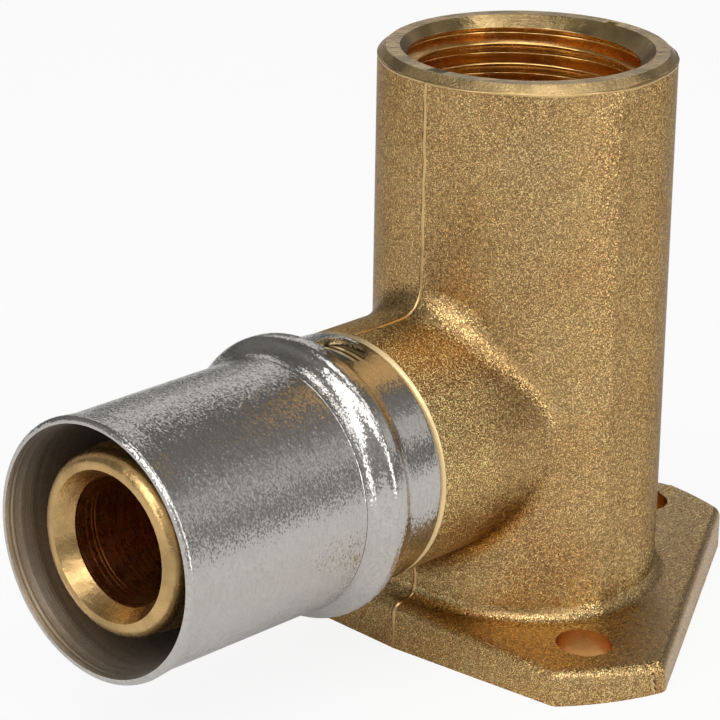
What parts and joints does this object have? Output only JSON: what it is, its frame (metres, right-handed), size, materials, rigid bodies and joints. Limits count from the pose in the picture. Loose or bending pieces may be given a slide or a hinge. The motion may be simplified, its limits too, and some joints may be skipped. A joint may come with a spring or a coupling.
{
  "type": "wall plate elbow",
  "caption": "Forged brass wall plate elbow with a female threaded outlet square to the wall and a stainless press sleeve for multilayer pipe at the side.",
  "frame": {"origin": "on the wall face of the plate, on the axis of the threaded socket", "axes": "+Z out of the threaded socket, away from the wall, and +X along the pipe branch towards its mouth"},
  "size_m": [0.0735, 0.044, 0.0507],
  "materials": {
    "brass": "forged and blasted, machined at the threads and stub",
    "stainless": "brushed round the axis",
    "seal": "smooth",
    "washer": "matt"
  },
  "bodies": {
    "root": {"body": "brass", "press_sleeve": "stainless", "rear_o_ring": "seal", "front_o_ring": "seal", "insulating_washer": "washer"}
  },
  "joints": []
}
